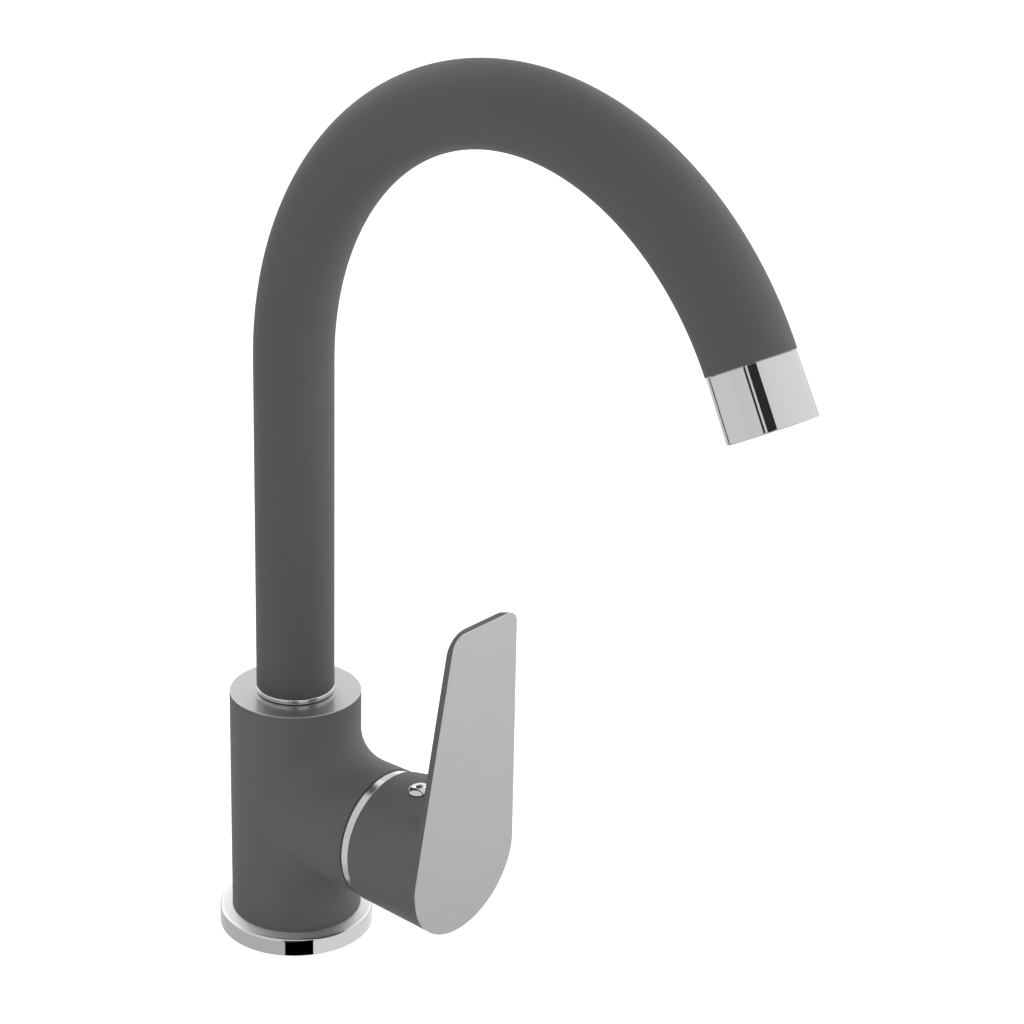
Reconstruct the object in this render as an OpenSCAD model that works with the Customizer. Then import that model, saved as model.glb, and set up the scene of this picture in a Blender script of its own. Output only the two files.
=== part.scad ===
// Single-lever kitchen mixer tap with a swivelling gooseneck spout.
// Millimetres, +Z up. The origin is the centre of the face that stands on the deck.
// The branch with the cartridge and the lever points along -Y.

/* [Body] */
// Diameter of the upright body
body_d = 47.4; // [47.4:0.2:54]
// Height of the body's top face above the deck
body_h = 93; // [92:0.5:108]
// Height of the branch's axis above the deck
branch_z = 51.3; // [50:0.1:54]
// Diameter of the side branch
branch_d = 47.2; // [45:0.2:47.2]
// Distance from the body's axis to the branch's end face
branch_reach = 43.5; // [43.5:0.5:50]
// Radius of the blend between the body and the branch
blend_r = 14; // [4:0.5:14]

/* [Foot] */
// Height of the base flange where it meets the body
foot_z = 7.2; // [6:0.2:9]
// Height of the base flange at its outer edge, less than where it meets the body
flange_edge_h = 6.45; // [5:0.05:6.8]
// How far the base flange stands out past the body
flange_rim = 4.55; // [4:0.05:8]
// Edge round of the base flange
flange_round = 0.7; // [0.3:0.1:1.2]
// Step from the body down to its foot spigot, on the radius
spigot_step = 2.2; // [1.5:0.1:3]
// Height of the foot spigot's lower face above the deck
spigot_z = 1; // [0.5:0.25:2]
// Radial width of the deck gasket
gasket_w = 3.9; // [3:0.1:4.4]
// Thickness of the deck gasket
gasket_t = 2; // [1.5:0.25:3]
// Wall of the flange between its bore and the gasket
gasket_land = 0.9; // [0.6:0.1:1.5]
// Tapping bore of the two M10x1 hose inlets
inlet_bore = 9; // [8:0.25:9.5]
// Distance between the two inlets
inlet_pitch = 18; // [16:0.5:19]
// How far the inlets lie in front of the body's axis
inlet_front = 6; // [5.5:0.25:6.5]
// Depth of the inlets' threads
inlet_depth = 12; // [10:1:16]
// Tapping bore of the M8 stud hole
stud_bore = 6.8; // [5:0.1:7]
// How far the stud hole lies behind the body's axis
stud_back = 11.5; // [10:0.5:14]
// Depth of the stud hole
stud_depth = 15; // [12:1:20]

/* [Top cap] */
// Thickness of the top cap's disc
cap_t = 1; // [0.8:0.1:2]
// Edge round of the top cap
cap_round = 0.4; // [0.2:0.1:0.6]
// Diameter of the top cap's spigot
cap_spigot_d = 31.9; // [30:0.1:36]
// Length of the top cap's spigot
cap_spigot_h = 2.5; // [2:0.1:2.5]

/* [Spout] */
// Outer diameter of the spout tube
tube_d = 28; // [27:0.5:30]
// Wall of the spout tube
tube_wall = 1; // [0.8:0.1:1.2]
// Height where the straight riser ends and the bend starts
riser_top = 219.4; // [180:1:260]
// Radius of the gooseneck at the tube's centre line
bend_r = 107.2; // [80:1:130]
// Angle that the gooseneck turns through
bend_angle = 151.7; // [120:0.1:180]
// Swing of the spout from straight ahead, as photographed
spout_swing = -5.6; // [-90:1:90]
// Height of the chrome ring at the tube's foot
foot_ring_h = 2; // [1.5:0.1:4]
// How far the foot ring stands out past the tube
foot_ring_lip = 0.15; // [0.1:0.05:0.5]
// Edge chamfer of the foot ring and of the tube
joint_chamfer = 0.2; // [0.1:0.05:0.3]

/* [Spout bearing] */
// Diameter of the stem in the body's socket
stem_d = 23.9; // [23:0.1:24.4]
// Bore of the stem
stem_bore = 18; // [14:0.5:18]
// Depth of the body's socket for the stem
socket_depth = 23; // [22.5:0.5:23]
// How far the stem reaches up into the tube
stem_grip = 18; // [12:1:30]
// Height of the two slide rings
slide_ring_h = 2.8; // [2:0.1:3]
// Section diameter of the stem's two seals
stem_seal_t = 1.85; // [1.5:0.05:1.9]
// Height of the seals' grooves
stem_seal_groove = 2.4; // [2.1:0.1:2.5]
// Distance of the lock screw below the body's top
lock_screw_down = 8.8; // [8.6:0.1:9]
// Diameter of the lock screw
lock_screw_d = 5; // [4:0.5:5]
// Diameter of the lock screw's tip
lock_tip_d = 3.6; // [2.4:0.1:3.6]

/* [Outlet] */
// Diameter of the aerator sleeve at its upper end
sleeve_d = 27.4; // [26:0.2:30]
// How much wider the sleeve is at its mouth, on the radius
sleeve_flare = 0.4; // [0:0.05:0.6]
// Length of the aerator sleeve
sleeve_h = 20.5; // [18:0.5:26]
// Edge round of the aerator sleeve
sleeve_round = 0.5; // [0.3:0.1:1]
// Diameter of the sleeve's thread
sleeve_thread_d = 24.3; // [23.6:0.1:24.3]
// Length of the sleeve's thread
sleeve_thread_h = 6; // [4:0.5:7]
// Bore of the sleeve
sleeve_bore = 22.8; // [21:0.1:22.8]
// Lip at the sleeve's mouth, along the flow
sleeve_lip_h = 1.2; // [0.8:0.1:2]
// Lip at the sleeve's mouth, across the flow
sleeve_lip_w = 0.9; // [0.5:0.1:1.5]
// Thickness of the outlet washer
washer_t = 1.5; // [1:0.1:2]
// Length of the flow straightener
insert_h = 13; // [10:0.5:14]
// Thickness of a wire screen
screen_t = 0.4; // [0.3:0.05:0.6]

/* [Cartridge] */
// Diameter of the cartridge
cartridge_d = 34.9; // [34.6:0.1:35.1]
// Depth of the cartridge chamber from the branch's end face
chamber_depth = 29.5; // [29.5:0.1:30.5]
// Thickness of the cartridge's base
base_t = 4.2; // [4:0.1:4.6]
// Radius of the circle through the three ports
port_circle = 7.4; // [7.2:0.1:7.6]
// Radius of the ports
port_r = 2.8; // [2.4:0.1:2.8]
// Section diameter of the port seals
port_seal_t = 1.6; // [1.2:0.1:1.6]
// Gap between the base and the fixed disc, which the seals fill
disc_lift = 0.4; // [0.3:0.05:0.5]
// Thickness of the fixed ceramic disc
fixed_disc_t = 3.6; // [3:0.1:4]
// Thickness of the moving ceramic disc
moving_disc_t = 3; // [2.8:0.1:3.4]
// Radius of the moving ceramic disc
moving_disc_r = 12.4; // [11.6:0.1:12.4]
// Radius of the mixing hollow in the moving disc
mix_r = 7.6; // [7:0.1:7.8]
// Depth of the mixing hollow
mix_depth = 1.6; // [1:0.1:2]
// Wall of the cartridge housing
housing_wall = 1.45; // [1.2:0.05:1.45]
// Thickness of the housing's shoulder
shoulder_t = 1.2; // [1:0.1:2]
// Length of the housing's neck
neck_h = 10; // [8:0.5:11]
// Diameter of the housing's neck
neck_d = 27.8; // [26:0.1:28.4]
// Diameter of the rotor's neck
rotor_neck_d = 23.84; // [22:0.02:24]
// Thickness of the rotor's flange
rotor_flange_t = 3.9; // [3.5:0.1:4.2]
// Half of the turn from cold to hot
turn_half = 50; // [30:1:50]

/* [Cartridge nut and collar] */
// Thread diameter of the cartridge nut
nut_thread_d = 37.9; // [37.5:0.1:38.5]
// Width of the nut's hexagon across its flats
nut_flats = 32; // [30:0.5:32]
// Height of the collar ring's band
collar_h = 3.6; // [2.5:0.1:3.6]
// Diameter of the collar ring's band
collar_d = 46.6; // [45:0.1:46.8]
// Height of the collar's dome above its band
dome_h = 2.9; // [2.5:0.1:2.9]
// Diameter of the collar's dome
dome_d = 40.4; // [39.6:0.1:40.4]
// Wall of the collar's dome
dome_wall = 0.8; // [0.6:0.05:0.8]

/* [Lever] */
// How far the lever tilts open
lever_travel = 20; // [12:1:20]
// Distance of the tilt axis from the housing's shoulder
pivot_up = 5.5; // [5:0.1:6]
// Diameter of the tilt pin
pin_d = 3; // [2.5:0.1:3]
// Width of the square spindle
spindle_w = 8; // [7:0.1:8]
// Diameter of the spindle's ball
ball_d = 5.8; // [5:0.1:5.8]
// Diameter of the hub's rim
hub_d = 48.4; // [47.4:0.1:49.4]
// Gap between the collar and the hub's rim
hub_gap = 0.7; // [0.5:0.1:1.5]
// Distance from the hub's rim to the lever's face
hub_len = 33.1; // [31:0.1:36]
// Wall of the hub at its rim
hub_wall = 2.8; // [2.2:0.1:2.8]
// Thickness of the hub's front, face included
hub_front = 7; // [6:0.25:8]
// Height of the hub's flat top above the branch's axis
hub_top = 25.2; // [23.6:0.1:25.4]
// Corner radius of the hub's flat top at the blade
hub_corner = 8; // [6:0.5:9]
// Radius of the blade's round lower end
blade_r = 26; // [25:0.1:28]
// Height of the lower end's centre above the branch's axis
blade_rise = 0.6; // [0:0.1:1.5]
// Height of the blade's top above the branch's axis
blade_h = 95.9; // [80:1:120]
// Width of the blade's top
blade_top_w = 33.2; // [26:0.2:40]
// Corner radius of the blade's top
blade_corner = 5.3; // [3:0.1:8]
// Thickness of the blade with its face plate
blade_t = 2.85; // [2:0.05:3.5]
// Thickness of the face plate
face_t = 0.3; // [0.2:0.05:0.8]
// Lean of the blade, its top outward
blade_lean = 4.5; // [3:0.5:8]
// Distance of the grub screw and the index plug from the hub's rim
plug_at = 15; // [12.2:0.1:15.4]
// Turn of the grub screw and the index plug round the branch's axis, to the left
plug_turn = 8; // [0:1:12]
// Diameter of the index plug
plug_d = 8.2; // [7:0.1:8.4]
// How far the index plug stands out of the hub
plug_proud = 2; // [1.4:0.1:2.2]
// Rise of the index plug's dome
plug_dome = 1.1; // [0.4:0.1:1.2]
// Diameter of the grub screw
grub_d = 5; // [4:0.5:5]
// Length of the grub screw
grub_h = 8; // [6:1:10]

/* [Fits] */
// Radial clearance where one part turns or slides in another
run_fit = 0.06; // [0.04:0.01:0.08]
// Radial clearance where one part is pressed or screwed into another
seat_fit = 0.05; // [0.03:0.01:0.08]
// Gap between parts that pass each other
pass_gap = 0.3; // [0.2:0.05:0.3]

/* [Hidden] */
$fn = 96;

// Colours
paint = [0.25, 0.26, 0.27];
chrome = [0.82, 0.83, 0.85];
steel = [0.72, 0.73, 0.75];
brass = [0.80, 0.66, 0.36];
rubber = [0.10, 0.10, 0.11];
ceramic = [0.93, 0.93, 0.90];
pale_plastic = [0.90, 0.90, 0.86];
grey_plastic = [0.45, 0.47, 0.50];
blue = [0.05, 0.20, 0.75];

// How far a cut runs past the face that it opens
over = 1;

// Body and foot
body_r = body_d / 2;
branch_r = branch_d / 2;
spigot_r = body_r - spigot_step;
duct_d = 7.5;
flange_r = body_r + flange_rim;
flange_bore_r = spigot_r + seat_fit;
gasket_in_r = flange_bore_r + gasket_land;
gasket_out_r = gasket_in_r + gasket_w;
blend = min(
    blend_r,
    body_h - branch_z - branch_r - over,
    branch_reach - body_r - over,
    branch_z - branch_r - foot_z - over
);

// Spout bearing, all heights above the deck
turn_gap = 0.15;
stem_r = stem_d / 2;
socket_r = stem_r + turn_gap;
socket_z = body_h - socket_depth;
stem_z = socket_z + 1;
cap_top = body_h + cap_t;
cap_bore_r = socket_r + pass_gap;
cap_spigot_r = cap_spigot_d / 2;
ring_z = cap_top + turn_gap;
tube_z = ring_z + foot_ring_h + seat_fit;
tube_r = tube_d / 2;
tube_in_r = tube_r - tube_wall;
grip_r = tube_in_r - seat_fit;
bearing_r = socket_r - run_fit;
slide_groove_depth = 0.95;
slide_groove_r = stem_r - slide_groove_depth;
seal_groove_r = bearing_r - stem_seal_t;
lock_groove_depth = 1.35;
lock_groove_r = stem_r - lock_groove_depth;
lock_z = body_h - lock_screw_down;
stem_land = 0.8;
low_slide_z = stem_z + stem_land;
low_seal_z = low_slide_z + slide_ring_h + stem_land;
high_seal_z = low_seal_z + stem_seal_groove + stem_land;
high_slide_z = body_h - 2.4 - slide_ring_h;
stem_seal_zs = [low_seal_z, high_seal_z];
slide_ring_zs = [low_slide_z, high_slide_z];

// Outlet, along the flow from the tube's end
nipple_depth = sleeve_thread_h + washer_t + 2.5;
nipple_bore_r = sleeve_thread_d / 2 + seat_fit;
nipple_taper = pow(nipple_depth, 2) / (2 * (bend_r + tube_in_r));
washer_hole_r = sleeve_bore / 2 - 1.2;
sleeve_bore_r = sleeve_bore / 2;
insert_r = sleeve_bore_r - 0.1;
insert_end = sleeve_h - sleeve_lip_h;
insert_start = insert_end - insert_h;
screen_gap = 0.15;

// Cartridge, outward along the branch
floor_at = branch_reach - chamber_depth;
base_top = floor_at + base_t;
fixed_bottom = base_top + disc_lift;
fixed_top = fixed_bottom + fixed_disc_t;
moving_bottom = fixed_top + seat_fit;
moving_top = moving_bottom + moving_disc_t;
carrier_lift = 1.4;
carrier_web = 0.75;
guide_h = 4.1;
carrier_bottom = fixed_top + carrier_lift;
pocket_floor = moving_top + carrier_web;
carrier_step = pocket_floor + pass_gap;
carrier_top = carrier_step + guide_h;
rotor_bottom = carrier_top + pass_gap;
rotor_top = rotor_bottom + rotor_flange_t;
flat_gap = 0.2;
housing_roof = rotor_top + flat_gap;
housing_top = housing_roof + shoulder_t;
neck_top = housing_top + neck_h;
rotor_stub = 2.5;
rotor_end = neck_top + rotor_stub;
pivot_at = housing_top + pivot_up;

// Cartridge, across the branch
cartridge_r = cartridge_d / 2;
chamber_r = cartridge_r + turn_gap;
cavity_r = cartridge_r - housing_wall;
fixed_disc_r = cavity_r - 0.1;
ports = [for (a = [30, 150, 270]) port_circle * [cos(a), sin(a)]];
port_seal_mid = port_r + port_seal_t / 2 + 0.4;
rotor_neck_r = rotor_neck_d / 2;
neck_bore_r = rotor_neck_r + run_fit;
rotor_flange_r = cavity_r - 0.7;
carrier_r = moving_disc_r + 1.2;
guide_half = 9.3;
lug_out = 13.5;
lug_half_h = 6;
stop_half_angle = 10;
stop_in_r = cavity_r - 2.1;
locating_pin_r = 1.95;
locating_pin_h = 3;
locating_pins = [[-13, -5], [13, -5]];

// Spindle and the disc's slide
ball_r = ball_d / 2;
ball_at = pocket_floor + ball_r + pass_gap;
lever_arm = pivot_at - ball_at;
slide_half = lever_arm * sin(lever_travel) / 2;
spindle_start = housing_top;
slot_half_h = spindle_w / 2 + 5;
pin_r = pin_d / 2;

// Nut and collar
nut_r = nut_thread_d / 2;
nut_bore_r = neck_d / 2 + 0.1;
collar_line = 0.3;
collar_top = branch_reach + collar_h;
dome_top = collar_top + dome_h;
dome_r = dome_d / 2;
dome_in_r = dome_r - dome_wall;
nut_top = dome_top - dome_wall - pass_gap;

// Lever
hub_rim = collar_top + hub_gap;
hub_r = hub_d / 2;
hub_bore_r = hub_r - hub_wall;
face_at = hub_rim + hub_len;
hub_floor = face_at - hub_front;
boss_up = 7.7;
boss_start = hub_rim + boss_up;
boss_r = 9.5;
// Room inside the hub's rim, in which the collar stays clear as the lever tilts
relief_r = norm([collar_d / 2, collar_top - pivot_at]) + pass_gap;
web_half = plug_d / 2 + 1.5;
spindle_end = hub_floor - 3.5;
screw_at = hub_rim + plug_at;
plug_r = plug_d / 2;
plug_seat = hub_top - 3.5;
plug_top = hub_top + plug_proud;
mark_r = 1.2;
mark_rise = 0.3;
grub_tip_r = 0.9;
grub_tip_h = 1.5;
grub_start = (spindle_w / 2 + grub_tip_r * sin(plug_turn)) / cos(plug_turn);
hex_key = 0.55;

// Blade's side line: its tilt, and the blade's half width at a height above the axis
corner_x = blade_top_w / 2 - blade_corner;
corner_y = blade_h - blade_corner;
side_run = norm([corner_x, corner_y - blade_rise]);
side_tilt = asin((blade_r - blade_corner) / side_run) - atan(corner_x / (corner_y - blade_rise));
function side_x(up) = (blade_r - (up - blade_rise) * sin(side_tilt)) / cos(side_tilt);

// Points of an arc in a profile
function arc(centre, r, from, to, steps = 6) =
    [for (i = [0:steps])
        let (a = from + (to - from) * i / steps)
        centre + r * [cos(a), sin(a)]];

// Dome of a height over a round edge, as a profile from its edge to the axis
function dome(edge_r, base, rise, steps = 8) =
    let (ball = (edge_r * edge_r + rise * rise) / (2 * rise))
    arc([0, base + rise - ball], ball, 90 - asin(edge_r / ball), 90, steps);

// Frame of the branch: x across, y up, z outward
module on_branch() {
    translate([0, 0, branch_z])
        rotate([90, 0, 0])
            children();
}

// Frame of the blade's face: x across, y up the blade, z out of the face
module on_blade() {
    on_branch()
        translate([0, 0, face_at])
            rotate([blade_lean, 0, 0])
                children();
}

// Frame of the spout, swung to its place
module on_spout() {
    rotate([0, 0, spout_swing])
        children();
}

// Frame of the tube's outlet end: z along the flow
module at_outlet() {
    on_spout()
        translate([0, -bend_r, riser_top])
            rotate([bend_angle, 0, 0])
                translate([0, bend_r, 0])
                    children();
}

// Frame of the grub screw and the plug over it: z outward from the branch's axis
module on_screw() {
    on_branch()
        rotate([0, 0, plug_turn])
            translate([0, 0, screw_at])
                rotate([-90, 0, 0])
                    children();
}

// Ring with a rectangular section
module ring(outer, inner, height) {
    difference() {
        cylinder(r = outer, h = height);
        translate([0, 0, -over])
            cylinder(r = inner, h = height + 2 * over);
    }
}

// Ring with a round section
module o_ring(mid, section) {
    rotate_extrude()
        translate([mid, 0])
            circle(d = section, $fn = 24);
}

// Concave blend where the branch leaves the body, as a closed band of sections.
// A ball of the blend's radius rolls round outside both cylinders. Each section is
// the arc between its two contact points, closed by a point inside both cylinders.
blend_sections = 72;
blend_steps = 9;
blend_sink = 0.04;
blend_depth = 3;
function blend_centre(a) =
    let (x = (branch_r + blend) * cos(a), y = (branch_r + blend) * sin(a))
    [x, -sqrt(pow(body_r + blend, 2) - x * x), y];
function blend_root(a) =
    let (x = (branch_r - blend_depth) * cos(a), y = (branch_r - blend_depth) * sin(a))
    [x, -sqrt(pow(body_r - blend_depth, 2) - x * x), y];
function to_body(c) = -[c.x, c.y, 0] / norm([c.x, c.y]);
function to_branch(c) = -[c.x, 0, c.z] / norm([c.x, c.z]);
function between(u, v, part) =
    let (turn = acos(u * v))
    (sin((1 - part) * turn) * u + sin(part * turn) * v) / sin(turn);
function blend_section(a) =
    let (c = blend_centre(a))
    concat(
        [for (i = [0:blend_steps])
            c + (blend + blend_sink) * between(to_body(c), to_branch(c), i / blend_steps)],
        [blend_root(a)]
    );
module branch_blend() {
    count = blend_steps + 2;
    points = [for (i = [0:blend_sections - 1]) each blend_section(360 * i / blend_sections)];
    function at(i, j) = (i % blend_sections) * count + j % count;
    faces = [for (i = [0:blend_sections - 1], j = [0:count - 1]) each [
        [at(i, j), at(i + 1, j + 1), at(i + 1, j)],
        [at(i, j), at(i, j + 1), at(i + 1, j + 1)]
    ]];
    translate([0, 0, branch_z])
        polyhedron(points, faces);
}

// Waterways of the body: two inlets to the cartridge's upper ports, the lower port to the socket
module waterways() {
    for (side = [-1, 1])
        translate([side * inlet_pitch / 2, -inlet_front, 0]) {
            translate([0, 0, spigot_z - over])
                cylinder(d = inlet_bore, h = inlet_depth + over);
            cylinder(d = duct_d, h = branch_z + ports[0].y);
        }
    on_branch() {
        for (port = [ports[0], ports[1]])
            translate([port.x, port.y, inlet_front])
                cylinder(r = port_r, h = floor_at - inlet_front + over);
        translate([ports[2].x, ports[2].y, -over])
            cylinder(r = port_r, h = floor_at + 2 * over);
    }
    translate([0, 0, branch_z + ports[2].y])
        cylinder(d = duct_d, h = socket_z - branch_z - ports[2].y + over);
}

// Room for the cartridge, its nut and its locating pins
module cartridge_chamber() {
    on_branch() {
        translate([0, 0, floor_at])
            cylinder(r = chamber_r, h = chamber_depth + over);
        translate([0, 0, housing_top - flat_gap])
            cylinder(r = nut_r + seat_fit, h = branch_reach - housing_top + flat_gap + over);
        for (pin = locating_pins)
            translate([pin.x, pin.y, floor_at - locating_pin_h - flat_gap])
                cylinder(r = locating_pin_r + turn_gap, h = locating_pin_h + flat_gap + over);
    }
}

module mixer_body() {
    color(paint)
        difference() {
            union() {
                translate([0, 0, foot_z])
                    cylinder(r = body_r, h = body_h - foot_z);
                translate([0, 0, spigot_z])
                    cylinder(r = spigot_r, h = foot_z - spigot_z + over);
                on_branch()
                    cylinder(r = branch_r, h = branch_reach);
                branch_blend();
            }
            translate([0, 0, socket_z])
                cylinder(r = socket_r, h = socket_depth + over);
            translate([0, 0, body_h - cap_spigot_h])
                cylinder(r = cap_spigot_r + seat_fit, h = cap_spigot_h + over);
            translate([0, 0, lock_z])
                rotate([-90, 0, 0])
                    cylinder(d = lock_screw_d + 2 * seat_fit, h = body_r + over);
            translate([0, stud_back, spigot_z - over])
                cylinder(d = stud_bore, h = stud_depth + over);
            cartridge_chamber();
            waterways();
        }
}

module base_flange() {
    edge = [flange_r - flange_round, flange_edge_h - flange_round];
    color(chrome)
        difference() {
            rotate_extrude()
                polygon(concat(
                    [[flange_bore_r, 0], [flange_r, 0]],
                    arc(edge, flange_round, 0, 90),
                    [[body_r + 0.3, foot_z], [flange_bore_r, foot_z]]
                ));
            translate([0, 0, -over])
                ring(gasket_out_r + seat_fit, gasket_in_r - seat_fit, gasket_t + over);
        }
}

module deck_gasket() {
    color(rubber)
        ring(gasket_out_r, gasket_in_r, gasket_t);
}

module top_cap() {
    color(chrome)
        rotate_extrude()
            polygon(concat(
                [
                    [cap_bore_r, body_h - cap_spigot_h],
                    [cap_spigot_r, body_h - cap_spigot_h],
                    [cap_spigot_r, body_h],
                    [body_r, body_h]
                ],
                arc([body_r - cap_round, cap_top - cap_round], cap_round, 0, 90),
                [[cap_bore_r, cap_top]]
            ));
}

module spout_lock_screw() {
    tip_start = lock_groove_r + pass_gap;
    body_start = socket_r + 0.3;
    color(steel)
        translate([0, 0, lock_z])
            rotate([-90, 0, 0])
                difference() {
                    union() {
                        translate([0, 0, tip_start])
                            cylinder(d = lock_tip_d, h = body_start - tip_start + over);
                        translate([0, 0, body_start])
                            cylinder(d = lock_screw_d, h = body_r - body_start - 0.8);
                    }
                    translate([0, 0, body_r - 3.8])
                        cylinder(d = lock_screw_d * hex_key, h = 4, $fn = 6);
                }
}

module collar_ring() {
    band_r = collar_d / 2;
    round_r = 0.4;
    color(chrome)
        on_branch()
            rotate_extrude()
                polygon(concat(
                    [
                        [dome_in_r, branch_reach],
                        [band_r - 1, branch_reach],
                        [band_r - 1, branch_reach + collar_line]
                    ],
                    arc([band_r - round_r, branch_reach + collar_line + round_r], round_r, -90, 0),
                    arc([band_r - round_r, collar_top - round_r], round_r, 0, 90),
                    [[dome_r, collar_top]],
                    arc([dome_r - dome_wall, dome_top - dome_wall], dome_wall, 0, 90),
                    [
                        [neck_d / 2 - 0.4, dome_top],
                        [neck_d / 2 - 0.4, dome_top - dome_wall],
                        [dome_in_r, dome_top - dome_wall]
                    ]
                ));
}

module cartridge_base() {
    groove = port_seal_t + 0.2;
    color(grey_plastic)
        on_branch()
            difference() {
                union() {
                    translate([0, 0, floor_at])
                        cylinder(r = cartridge_r, h = base_t);
                    for (pin = locating_pins)
                        translate([pin.x, pin.y, floor_at - locating_pin_h])
                            cylinder(r = locating_pin_r, h = locating_pin_h + over);
                }
                for (port = ports)
                    translate([port.x, port.y, 0]) {
                        translate([0, 0, floor_at - over])
                            cylinder(r = port_r, h = base_t + 2 * over);
                        translate([0, 0, floor_at - over])
                            ring(port_seal_mid + groove / 2, port_seal_mid - groove / 2, port_seal_t + over);
                        translate([0, 0, fixed_bottom - port_seal_t])
                            ring(port_seal_mid + groove / 2, port_seal_mid - groove / 2, port_seal_t + over);
                    }
            }
}

// Three seals round the ports, their lower side at a distance along the branch
module port_seals(at) {
    on_branch()
        for (port = ports)
            translate([port.x, port.y, at + port_seal_t / 2])
                o_ring(port_seal_mid, port_seal_t - 0.02);
}

module base_seals() {
    color(rubber)
        port_seals(floor_at);
}

module disc_seals() {
    color(rubber)
        port_seals(fixed_bottom - port_seal_t);
}

module fixed_disc() {
    color(ceramic)
        on_branch()
            difference() {
                translate([0, 0, fixed_bottom])
                    cylinder(r = fixed_disc_r, h = fixed_disc_t);
                for (port = ports)
                    translate([port.x, port.y, fixed_bottom - over])
                        cylinder(r = port_r, h = fixed_disc_t + 2 * over);
            }
}

module cartridge_housing() {
    color(pale_plastic)
        on_branch() {
            rotate_extrude()
                polygon([
                    [cavity_r, base_top],
                    [cartridge_r, base_top],
                    [cartridge_r, housing_top],
                    [neck_d / 2, housing_top],
                    [neck_d / 2, neck_top],
                    [neck_bore_r, neck_top],
                    [neck_bore_r, housing_roof],
                    [cavity_r, housing_roof]
                ]);
            // Stop for the rotor's turn
            rotate([0, 0, 90 - stop_half_angle])
                rotate_extrude(angle = 2 * stop_half_angle)
                    translate([stop_in_r, rotor_bottom])
                        square([cavity_r - stop_in_r + 0.5, housing_roof - rotor_bottom + 0.5]);
        }
}

module cartridge_nut() {
    color(brass)
        on_branch()
            difference() {
                union() {
                    translate([0, 0, housing_top])
                        cylinder(r = nut_r, h = branch_reach - housing_top);
                    translate([0, 0, branch_reach - over])
                        cylinder(d = nut_flats / cos(30), h = nut_top - branch_reach + over, $fn = 6);
                }
                translate([0, 0, housing_top - over])
                    cylinder(r = nut_bore_r, h = nut_top - housing_top + 2 * over);
            }
}

module cartridge_rotor() {
    stop_room = turn_half + stop_half_angle + 0.5;
    color(grey_plastic)
        on_branch()
            difference() {
                union() {
                    difference() {
                        translate([0, 0, rotor_bottom])
                            cylinder(r = rotor_flange_r, h = rotor_flange_t);
                        rotate([0, 0, 90 - stop_room])
                            rotate_extrude(angle = 2 * stop_room)
                                translate([stop_in_r - pass_gap, rotor_bottom - over])
                                    square([4, rotor_flange_t + 2 * over]);
                    }
                    translate([0, 0, rotor_bottom])
                        cylinder(r = rotor_neck_r, h = rotor_end - rotor_bottom);
                    for (side = [-1, 1])
                        translate([
                            side * (guide_half + 0.2 + lug_out) / 2,
                            0,
                            (carrier_step + 0.2 + rotor_bottom + over) / 2
                        ])
                            cube([
                                lug_out - guide_half - 0.2,
                                2 * lug_half_h,
                                rotor_bottom + over - carrier_step - 0.2
                            ], center = true);
                }
                translate([-spindle_w / 2 - pass_gap, -slot_half_h, rotor_bottom - over])
                    cube([spindle_w + 2 * pass_gap, 2 * slot_half_h, rotor_end - rotor_bottom + 2 * over]);
                translate([0, 0, pivot_at])
                    rotate([0, 90, 0])
                        cylinder(r = pin_r + 0.01, h = 2 * rotor_neck_r + 2 * over, center = true);
            }
}

module lever_pin() {
    color(steel)
        on_branch()
            translate([0, 0, pivot_at])
                rotate([0, 90, 0])
                    cylinder(r = pin_r, h = 2 * rotor_neck_r - 0.6, center = true);
}

module disc_carrier() {
    color(pale_plastic)
        on_branch()
            translate([0, -slide_half, 0])
                difference() {
                    union() {
                        translate([0, 0, carrier_bottom])
                            cylinder(r = carrier_r, h = carrier_step - carrier_bottom);
                        intersection() {
                            translate([0, 0, carrier_step - 0.5])
                                cylinder(r = carrier_r, h = carrier_top - carrier_step + 0.5);
                            translate([-guide_half, -carrier_r - over, carrier_step - over])
                                cube([2 * guide_half, 2 * carrier_r + 2 * over, 10]);
                        }
                    }
                    translate([0, 0, carrier_bottom - over])
                        cylinder(r = moving_disc_r + seat_fit, h = moving_top - carrier_bottom + over);
                    translate([0, slide_half, pocket_floor])
                        cylinder(r = ball_r + turn_gap, h = carrier_top - pocket_floor + over);
                }
}

module moving_disc() {
    color(ceramic)
        on_branch()
            translate([0, -slide_half, 0])
                difference() {
                    translate([0, 0, moving_bottom])
                        cylinder(r = moving_disc_r, h = moving_disc_t);
                    translate([0, -3, moving_bottom - over])
                        cylinder(r = mix_r, h = mix_depth + over);
                }
}

module spindle() {
    color(steel)
        on_branch()
            difference() {
                union() {
                    translate([-spindle_w / 2, -spindle_w / 2, spindle_start])
                        cube([spindle_w, spindle_w, spindle_end - spindle_start]);
                    translate([0, 0, ball_at])
                        cylinder(r = ball_r - 0.9, h = spindle_start - ball_at + over);
                    translate([0, 0, ball_at])
                        sphere(r = ball_r, $fn = 48);
                }
                translate([0, 0, pivot_at])
                    rotate([0, 90, 0])
                        cylinder(r = pin_r + run_fit, h = spindle_w + 2 * over, center = true);
            }
}

// Outline of the blade: a round lower end, straight sides and a narrower top
module blade_outline(inset = 0) {
    hull() {
        translate([0, blade_rise])
            circle(r = blade_r - inset);
        for (side = [-1, 1])
            translate([side * corner_x, corner_y])
                circle(r = blade_corner - inset);
    }
}

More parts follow.
